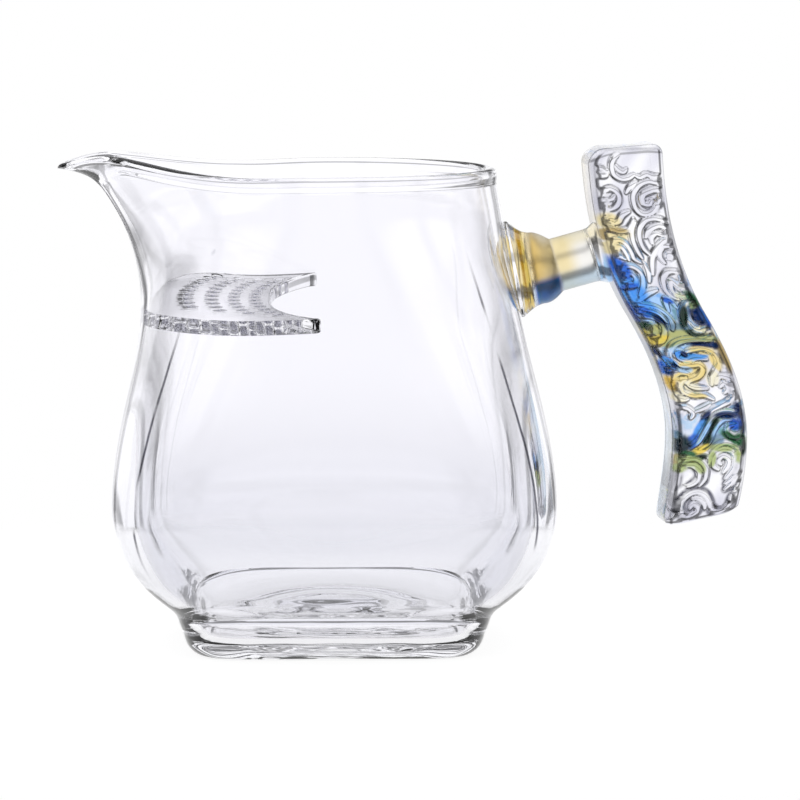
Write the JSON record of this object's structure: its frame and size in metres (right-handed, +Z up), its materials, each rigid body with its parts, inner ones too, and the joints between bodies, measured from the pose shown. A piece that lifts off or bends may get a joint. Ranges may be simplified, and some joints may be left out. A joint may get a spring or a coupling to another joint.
{
  "type": "tea pitcher",
  "caption": "Clear glass tea pitcher with a rounded square body, drawn spout, pierced crescent strainer and a coloured bar handle with raised cloud scrolls.",
  "frame": {"origin": "centre of the foot, on the table", "axes": "+Z up, +X towards the handle, spout towards -X, +Y towards the back of the picture"},
  "size_m": [0.1345, 0.086, 0.0976],
  "materials": {
    "body": "clear polished",
    "strainer": "clear polished",
    "boss": "amber and blue, polished",
    "handle": "clear with blue, green and gold streaks, polished"
  },
  "bodies": {
    "root": {"body": "body", "strainer": "strainer", "boss": "boss", "handle": "handle"}
  },
  "joints": []
}
